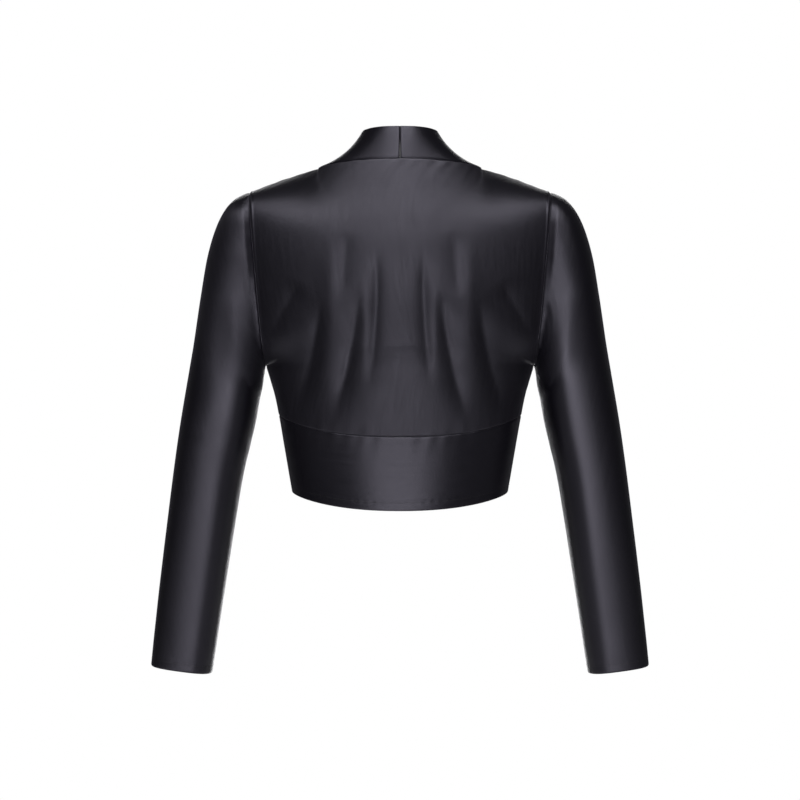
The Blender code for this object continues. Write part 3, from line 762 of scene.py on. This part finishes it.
def fold_fade(name, distances):
    """Folds die out towards sewn edges, so that neighbours still meet."""
    fade = np.ones_like(distances["top"])
    for edge in SEWN[name]:
        reach = WAIST_FADE if edge == "bottom" and name.startswith(("back", "front")) else SEAM_FADE
        fade *= ease(distances[edge] / reach)
    return fade


def folds_of(name, grid):
    """The folds of a piece at its points."""
    x = np.abs(grid[..., 0])
    z = grid[..., 2]
    if name == "back":
        return fold_relief(x, z, BACK_FOLDS)
    if name.startswith("front"):
        return fold_relief(x, z, FRONT_FOLDS)
    if name.startswith("sleeve"):
        normals = grid_normals(grid, True)
        behind = ease(0.5 + normals[..., 1] * SIDE_BLEND)
        at_back = fold_relief(x, z, SLEEVE_BACK_FOLDS)
        at_front = fold_relief(x, z, SLEEVE_FRONT_FOLDS)
        return at_back * behind + at_front * (1 - behind)
    return np.zeros(x.shape)


finished = {}
directions = {}
for name, grid in base.items():
    distances = edge_distances(grid)
    ways = directions_of(name, grid, shared, grid)
    height = folds_of(name, grid) * fold_fade(name, distances) + seam_relief(name, grid, distances)
    finished[name] = grid + ways * height[..., None]
    directions[name] = directions_of(name, finished[name], shared, grid)
    print(name, "relief from", round(height.min() * 1000, 1), "to", round(height.max() * 1000, 1), "mm")

# %% [markdown]
# ## Finishes
# The cloth is black polyester satin. Its long floats lie side by side like tiny rods, so a
# highlight spreads across them and stays short along them: an anisotropic gloss does this. The
# reverse is the dull side of the same weave. Colours are sRGB hex values, as a paint program
# shows them, and one function turns them to the linear numbers that a renderer needs.

# %% Material helpers
def linear(hex_colour):
    """Turn an sRGB hex colour to linear values with an alpha of 1."""
    channels = [int(hex_colour[i:i + 2], 16) / 255 for i in (1, 3, 5)]
    curve = [c / 12.92 if c <= 0.04045 else ((c + 0.055) / 1.055) ** 2.4 for c in channels]
    return (*curve, 1.0)


def add_node(tree, kind, settings=None, values=None, links=None):
    """Add a node, set its properties and input values, and link its inputs."""
    node = tree.nodes.new(kind)
    for key, value in (settings or {}).items():
        setattr(node, key, value)
    for key, value in (values or {}).items():
        node.inputs[key].default_value = value
    for key, source in (links or {}).items():
        tree.links.new(source, node.inputs[key])
    return node


def new_material(name, values):
    """A material with the given values on its shader."""
    material = bpy.data.materials.new(name)
    material.use_nodes = True
    shader = material.node_tree.nodes["Principled BSDF"]
    for key, value in values.items():
        shader.inputs[key].default_value = value
    return material, material.node_tree, shader


def add_object(name, data):
    """Make an object from its data and put it in the scene."""
    made = bpy.data.objects.new(name, data)
    bpy.context.scene.collection.objects.link(made)
    return made


print("satin's black as linear:", [round(c, 4) for c in linear("#0b0a0f")[:3]])

# %% [markdown]
# ### Black satin
# The threads are about 0.08 mm apart, far finer than a pixel of the picture, so the weave is
# drawn at 0.45 mm, as fine as a close view can show. It is a twill-like grain: satin floats step
# over by some threads from row to row, which gives the grain its slant. Slow noise stretched
# along the threads makes the gloss a little uneven, as in cloth that was worn and pressed.

# %% Satin finish
GRAIN_SPACING = 0.00045
GRAIN_SLANT = math.radians(63)
GRAIN_WAVER = 0.6
SLUB_LENGTH = 0.045
SLUB_WIDTH = 0.004
SLUB_SHARE = 0.6
NOISE_LOW, NOISE_HIGH = 0.3, 0.7
GLOSS_CHANGE = 0.035
BUMP_STRENGTH = 0.22
BUMP_DISTANCE = 0.0001
POLYESTER_IOR = 1.54


def black_satin(name, hex_colour, roughness, anisotropy, sheen):
    """Glossy satin on the UV map. The gloss is drawn out along u, across the threads."""
    material, tree, shader = new_material(name, {
        "Base Color": linear(hex_colour),
        "Roughness": roughness,
        "Metallic": 0.0,
        "IOR": POLYESTER_IOR,
        "Anisotropic": anisotropy,
        "Specular Tint": linear("#efeaff"),
        "Sheen Weight": sheen,
        "Sheen Roughness": 0.35,
        "Sheen Tint": linear("#b9b4cc"),
    })
    place = add_node(tree, "ShaderNodeUVMap", {"uv_map": "cloth"})
    tangent = add_node(tree, "ShaderNodeTangent", {"direction_type": "UV_MAP", "uv_map": "cloth"})
    tree.links.new(tangent.outputs["Tangent"], shader.inputs["Tangent"])
    turned = add_node(tree, "ShaderNodeMapping", None,
                      {"Rotation": (0.0, 0.0, GRAIN_SLANT)},
                      {"Vector": place.outputs["UV"]})
    grain = add_node(tree, "ShaderNodeTexWave", {"bands_direction": "X"},
                     {"Scale": math.pi / (10 * GRAIN_SPACING), "Distortion": GRAIN_WAVER,
                      "Detail": 1.0, "Detail Scale": 4.0},
                     {"Vector": turned.outputs["Vector"]})
    stretched = add_node(tree, "ShaderNodeMapping", None,
                         {"Scale": (1 / SLUB_WIDTH, 1 / SLUB_LENGTH, 1.0)},
                         {"Vector": place.outputs["UV"]})
    slubs = add_node(tree, "ShaderNodeTexNoise", None, {"Scale": 1.0, "Detail": 3.0},
                     {"Vector": stretched.outputs["Vector"]})
    uneven = add_node(tree, "ShaderNodeMapRange", None,
                      {"From Min": NOISE_LOW, "From Max": NOISE_HIGH,
                       "To Min": roughness - GLOSS_CHANGE, "To Max": roughness + GLOSS_CHANGE},
                      {"Value": slubs.outputs["Fac"]})
    tree.links.new(uneven.outputs["Result"], shader.inputs["Roughness"])
    both = add_node(tree, "ShaderNodeMath", {"operation": "MULTIPLY_ADD"}, {1: SLUB_SHARE},
                    {0: slubs.outputs["Fac"], 2: grain.outputs["Fac"]})
    bump = add_node(tree, "ShaderNodeBump", None,
                    {"Strength": BUMP_STRENGTH, "Distance": BUMP_DISTANCE},
                    {"Height": both.outputs["Value"]})
    tree.links.new(bump.outputs["Normal"], shader.inputs["Normal"])
    return material


# Satin's face: almost black cloth with a gloss that is drawn out across its threads
satin = black_satin("Black satin face", "#0b0a0f", 0.41, 0.72, 0.04)
# Satin's reverse: the dull side, where the short floats scatter the light
reverse = black_satin("Black satin reverse", "#141317", 0.62, 0.1, 0.10)
# Sewing thread: spun polyester, half matt
thread, _, _ = new_material("Black polyester thread", {
    "Base Color": linear("#121116"), "Roughness": 0.5, "IOR": POLYESTER_IOR})
print("finishes:", [m.name for m in (satin, reverse, thread)])

# %% [markdown]
# ## From grids to shells of cloth
# Each grid becomes a closed shell: the outer face, the same points moved in by the cloth's
# thickness, and rims between them. A Solidify modifier could add the wall too, but it would not
# know that neighbours share a direction at their seams. The UV map is laid out in metres, so
# that the weave has one size on every piece, with u across the threads and v along them. On the
# back and the fronts v is the height, which leaves no kink in the gloss below the neck point.
# On the sleeves, the collar and the waistband the map is turned: their gloss runs up and down.

# %% Shells
CLOTH = 0.0012
TURNED_UP = 0.0006
TURN_SLOPE = 0.002
SEAM_HAIR = 0.00008
SHARP_ANGLE = math.radians(50)


def quads(rows, columns):
    """Row and column of the first corner of each face in a grid."""
    row, column = np.mgrid[0:rows - 1, 0:columns - 1]
    return row.ravel(), column.ravel()


def faces_between(grid_numbers, uv, other_numbers, other_uv):
    """Faces that join two lines of points, with their UV corners."""
    numbers = np.stack([grid_numbers[:-1], grid_numbers[1:], other_numbers[1:], other_numbers[:-1]],
                       axis=-1)
    corners = np.stack([uv[:-1], uv[1:], other_uv[1:], other_uv[:-1]], axis=1)
    return numbers, corners


def seam_hair(grid, name):
    """Draw the sewn edges a hair's breadth apart."""
    moved = grid.copy()
    beside = {"top": np.s_[1], "bottom": np.s_[-2], "first": np.s_[:, 1], "last": np.s_[:, -2]}
    for edge in SEWN[name]:
        moved[EDGES[edge]] += unit(grid[beside[edge]] - grid[EDGES[edge]]) * SEAM_HAIR
    return moved


def cloth_shell(name, grid, ways, inside):
    """Make the closed shell of a piece."""
    closed = name in TUBES
    distances = edge_distances(grid)
    thick = np.full(grid.shape[:2], CLOTH)
    if "bottom" not in SEWN[name]:
        thick += TURNED_UP * ease((HEM_TURN + TURN_SLOPE - distances["bottom"]) / TURN_SLOPE)
    outer = seam_hair(grid, name)
    inner = outer - ways * thick[..., None]
    rows, columns = grid.shape[:2]
    count = rows * columns
    numbers = np.arange(count).reshape(rows, columns)
    u = distances["first"]
    turned = not name.startswith(("back", "front"))
    v = -distances["top"] if turned else grid[..., 2]
    if closed:
        numbers = np.concatenate([numbers, numbers[:, :1]], axis=1)
        last = np.linalg.norm(grid[:, 0] - grid[:, -1], axis=-1)
        u = np.concatenate([u, (u[:, -1] + last)[:, None]], axis=1)
        v = np.concatenate([v, v[:, :1]], axis=1)
    uv = np.stack([v, u] if turned else [u, v], axis=-1)
    row, column = quads(*numbers.shape)
    corner_rows = np.stack([row, row, row + 1, row + 1], axis=-1)
    corner_columns = np.stack([column, column + 1, column + 1, column], axis=-1)
    outside = numbers[corner_rows, corner_columns]
    outside_uv = uv[corner_rows, corner_columns]
    parts = [(outside, outside_uv, 0), (outside[:, ::-1] + count, outside_uv[:, ::-1], 1)]
    # Steps on the map from each edge to the rim beside it
    lip = np.array([CLOTH, 0.0] if turned else [0.0, CLOTH])
    side = lip[::-1]
    rims = [
        (numbers[0][::-1], uv[0][::-1], lip),
        (numbers[-1], uv[-1], -lip),
    ]
    if not closed:
        rims.append((numbers[:, 0], uv[:, 0], -side))
        rims.append((numbers[:, -1][::-1], uv[:, -1][::-1], side))
    for line, line_uv, shift in rims:
        rim, rim_uv = faces_between(line, line_uv, line + count, line_uv + shift)
        parts.append((rim, rim_uv, 0))
    faces = np.concatenate([part[0] for part in parts])
    corners = np.concatenate([part[1] for part in parts]).reshape(-1, 2)
    slots = np.concatenate([np.full(len(part[0]), part[2]) for part in parts])
    points = np.concatenate([outer.reshape(-1, 3), inner.reshape(-1, 3)])

    mesh = bpy.data.meshes.new(name)
    mesh.vertices.add(len(points))
    mesh.vertices.foreach_set("co", points.astype(np.float32).ravel())
    mesh.loops.add(faces.size)
    mesh.loops.foreach_set("vertex_index", faces.astype(np.int32).ravel())
    mesh.polygons.add(len(faces))
    mesh.polygons.foreach_set("loop_start", np.arange(0, faces.size, 4, dtype=np.int32))
    layer = mesh.uv_layers.new(name="cloth")
    layer.uv.foreach_set("vector", corners.astype(np.float32).ravel())
    mesh.materials.append(satin)
    mesh.materials.append(inside)
    mesh.polygons.foreach_set("material_index", slots.astype(np.int32))
    mesh.update(calc_edges=True)
    mesh.validate()
    mesh.shade_smooth()
    mesh.set_sharp_from_angle(angle=SHARP_ANGLE)
    return add_object(name + "_cloth", mesh)


cloth = {}
for name, grid in finished.items():
    lined = satin if name.startswith("collar") else reverse
    cloth[name] = cloth_shell(name, grid, directions[name], lined)
    print(name, len(cloth[name].data.polygons), "faces")

# %% [markdown]
# ## Hem stitches by Geometry Nodes
# A machine stitch repeats every few millimetres along the turned-up hem and cuffs. Geometry
# Nodes suit this: a line of points goes in, the nodes space it evenly and put one short bead of
# thread on each point, turned along the line. The sizes are inputs of the modifier.

# %% Stitch tree
THREAD_RADIUS = 0.00022
THREAD_PROUD = 0.4
STITCH_SIZES = {"Pitch": 0.0030, "Length": 0.0023, "Radius": THREAD_RADIUS}


def stitch_tree():
    """Nodes that lay stitches along the edges of a mesh."""
    tree = bpy.data.node_groups.new("Hem stitches", "GeometryNodeTree")
    face = tree.interface
    face.new_socket("Geometry", in_out="INPUT", socket_type="NodeSocketGeometry")
    for name, value in STITCH_SIZES.items():
        socket = face.new_socket(name, in_out="INPUT", socket_type="NodeSocketFloat")
        socket.default_value = value
    face.new_socket("Material", in_out="INPUT", socket_type="NodeSocketMaterial")
    face.new_socket("Geometry", in_out="OUTPUT", socket_type="NodeSocketGeometry")
    given = add_node(tree, "NodeGroupInput")
    line = add_node(tree, "GeometryNodeMeshToCurve", None, None, {"Mesh": given.outputs["Geometry"]})
    spaced = add_node(tree, "GeometryNodeResampleCurve", {"mode": "LENGTH"}, None,
                      {"Curve": line.outputs["Curve"], "Length": given.outputs["Pitch"]})
    tangent = add_node(tree, "GeometryNodeInputTangent")
    turn = add_node(tree, "FunctionNodeAlignRotationToVector", {"axis": "Z"}, None,
                    {"Vector": tangent.outputs["Tangent"]})
    bead = add_node(tree, "GeometryNodeMeshUVSphere", None,
                    {"Segments": 6, "Rings": 5, "Radius": 1.0})
    half = add_node(tree, "ShaderNodeMath", {"operation": "MULTIPLY"}, {1: 0.5},
                    {0: given.outputs["Length"]})
    size = add_node(tree, "ShaderNodeCombineXYZ", None, None,
                    {"X": given.outputs["Radius"], "Y": given.outputs["Radius"],
                     "Z": half.outputs["Value"]})
    laid = add_node(tree, "GeometryNodeInstanceOnPoints", None, None,
                    {"Points": spaced.outputs["Curve"], "Instance": bead.outputs["Mesh"],
                     "Rotation": turn.outputs["Rotation"], "Scale": size.outputs["Vector"]})
    real = add_node(tree, "GeometryNodeRealizeInstances", None, None,
                    {"Geometry": laid.outputs["Instances"]})
    coloured = add_node(tree, "GeometryNodeSetMaterial", None, None,
                        {"Geometry": real.outputs["Geometry"],
                         "Material": given.outputs["Material"]})
    result = add_node(tree, "NodeGroupOutput", None, None,
                      {"Geometry": coloured.outputs["Geometry"]})
    result.is_active_output = True
    return tree


stitches = stitch_tree()
print("inputs:", [item.name for item in stitches.interface.items_tree if item.in_out == "INPUT"])

# %% Lay the stitches
def stitch_line(name, grid, ways, closed):
    """Stitches along a piece's free lower edge, as deep in as the cloth is turned up."""
    gap = edge_distances(grid)["bottom"]
    lines = []
    for column in range(grid.shape[1]):
        share = np.interp(-HEM_TURN, -gap[:, column], np.arange(len(gap)))
        low = int(np.floor(share))
        part = share - low
        place = grid[low, column] * (1 - part) + grid[low + 1, column] * part
        lines.append(place + ways[low, column] * THREAD_RADIUS * THREAD_PROUD)
    count = len(lines)
    edges = [(number, number + 1) for number in range(count - 1)]
    if closed:
        edges.append((count - 1, 0))
    mesh = bpy.data.meshes.new(name)
    mesh.from_pydata([tuple(map(float, place)) for place in lines], edges, [])
    guide = add_object(name + "_line", mesh)
    modifier = guide.modifiers.new("Stitches", "NODES")
    modifier.node_group = stitches
    sockets = {item.name: item.identifier for item in stitches.interface.items_tree
               if item.in_out == "INPUT"}
    for label, value in STITCH_SIZES.items():
        modifier[sockets[label]] = value
    modifier[sockets["Material"]] = thread
    shown = guide.evaluated_get(bpy.context.evaluated_depsgraph_get())
    made = bpy.data.meshes.new_from_object(shown)
    guide.modifiers.remove(modifier)
    bpy.data.objects.remove(guide)
    made.shade_smooth()
    return add_object(name, made)


sewn_lines = {}
for name in ("band_back", "band_front_left", "band_front_right", "sleeve_left", "sleeve_right"):
    closed = name in TUBES
    sewn_lines[name] = stitch_line(name + "_stitches", finished[name], directions[name], closed)
    print(name, len(sewn_lines[name].data.polygons), "faces of thread")

# %% [markdown]
# ## What the frame needs to know
# Each shell rides on the one rigid body and stands for its solid, which is hidden. The size that each
# piece was cut to is read from a table and not used further. The cut of a set-in sleeve is its whole
# width round the arm by its length with the cap.

# Width and length of the cut in metres and its area in square metres. A left and a right piece
# are cut alike.
CUTS = {
    "back": (0.400, 0.365, 0.137),
    "front": (0.140, 0.340, 0.0355),
    "collar": (0.085, 0.480, 0.0260),
    "band_back": (0.375, 0.098, 0.0345),
    "band_front": (0.185, 0.104, 0.0182),
    "sleeve": (0.400, 0.615, 0.155),
}
for name, piece in cloth.items():
    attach(piece, "root")
    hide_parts(name)
    width, length, area = CUTS[name.removesuffix("_left").removesuffix("_right")]
for piece in sewn_lines.values():
    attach(piece, "root")
print("declared", len(cloth), "cut pieces")

# %% [markdown]
# ## Camera, floor and lights
# The picture is taken straight from behind, level with the jacket's middle, from 2.5 m, with a
# long lens that keeps the outline flat. The ground is plain white. Satin shows what it
# reflects, so the lights are soft boxes. The large one above lights what faces up. Four more
# stand behind, from high to low, for the back and the waistband to reflect, and three in front
# light the side that the picture doesn't show.

# %% Camera
CAMERA_DISTANCE = 2.5
CAMERA_HEIGHT = -0.290
LENS = 90
SENSOR_WIDTH = 36
eye = bpy.data.cameras.new("Camera")
eye.lens = LENS
eye.sensor_width = SENSOR_WIDTH
camera = add_object("Camera", eye)
camera.location = (0.0, CAMERA_DISTANCE, CAMERA_HEIGHT)
camera.rotation_euler = (math.radians(90), 0.0, math.radians(180))
bpy.context.scene.camera = camera
bpy.context.scene.view_settings.view_transform = "Standard"
print("camera at", tuple(round(v, 3) for v in camera.location))

# %% Floor and world
FLOOR_HEIGHT = -1.30
FLOOR_RADIUS = 2.1
FLOOR_DEPTH = 0.02
FLOOR_SIDES = 96
WORLD_LIGHT = 0.05
bpy.ops.mesh.primitive_cylinder_add(
    vertices=FLOOR_SIDES, radius=FLOOR_RADIUS, depth=FLOOR_DEPTH,
    location=(0.0, 0.0, FLOOR_HEIGHT - FLOOR_DEPTH / 2))
floor = bpy.context.object
floor.name = "floor"
# Studio floor: matt white paint
paint, _, _ = new_material("Matt white paint", {"Base Color": linear("#e9e9ea"), "Roughness": 0.8})
floor.data.materials.append(paint)
world = bpy.data.worlds.new("Studio")
bpy.context.scene.world = world
world.use_nodes = True
sky = world.node_tree
sky.nodes.clear()
rays = add_node(sky, "ShaderNodeLightPath")
pure_white = linear("#ffffff")
dim = add_node(sky, "ShaderNodeBackground", None, {"Color": pure_white, "Strength": WORLD_LIGHT})
white = add_node(sky, "ShaderNodeBackground", None, {"Color": pure_white, "Strength": 1.0})
mixed = add_node(sky, "ShaderNodeMixShader", None, None,
                 {0: rays.outputs["Is Camera Ray"], 1: dim.outputs["Background"],
                  2: white.outputs["Background"]})
add_node(sky, "ShaderNodeOutputWorld", None, None, {"Surface": mixed.outputs["Shader"]})
print("floor at", FLOOR_HEIGHT)

# %% Soft boxes
# name, place, point that it faces, width, height, power in watts
BOXES = [
    ("above", (0.0, 1.0, 2.2), (0.0, 0.0, -0.10), 2.4, 1.0, 40.0),
    ("overhead", (0.0, 1.9, 1.6), (0.0, 0.0, -0.15), 0.8, 1.0, 14.0),
    ("behind_high", (0.0, 2.3, 0.80), (0.0, 0.0, -0.15), 0.5, 0.7, 7.0),
    ("behind_camera", (0.0, 3.0, 0.25), (0.0, 0.0, -0.20), 0.5, 0.7, 16.0),
    ("behind_low", (0.0, 2.3, -1.10), (0.0, 0.0, -0.35), 0.9, 0.6, 13.0),
    ("front_high", (0.0, -2.2, 0.9), (0.0, 0.0, -0.2), 1.6, 1.0, 13.0),
    ("front_level", (0.0, -2.9, 0.0), (0.0, 0.0, -0.2), 0.9, 0.8, 9.0),
    ("front_low", (0.0, -2.2, -1.0), (0.0, 0.0, -0.35), 1.0, 0.6, 6.0),
]
for name, place, facing, width, height, power in BOXES:
    light = bpy.data.lights.new(name, "AREA")
    light.shape = "RECTANGLE"
    light.size = width
    light.size_y = height
    light.energy = power
    box = add_object(name, light)
    box.location = place
    way = np.array(facing) - np.array(place)
    flat = math.hypot(way[0], way[1])
    box.rotation_euler = (math.atan2(flat, -way[2]), 0.0, math.atan2(way[1], way[0]) - math.pi / 2)
print("soft boxes:", len(BOXES))
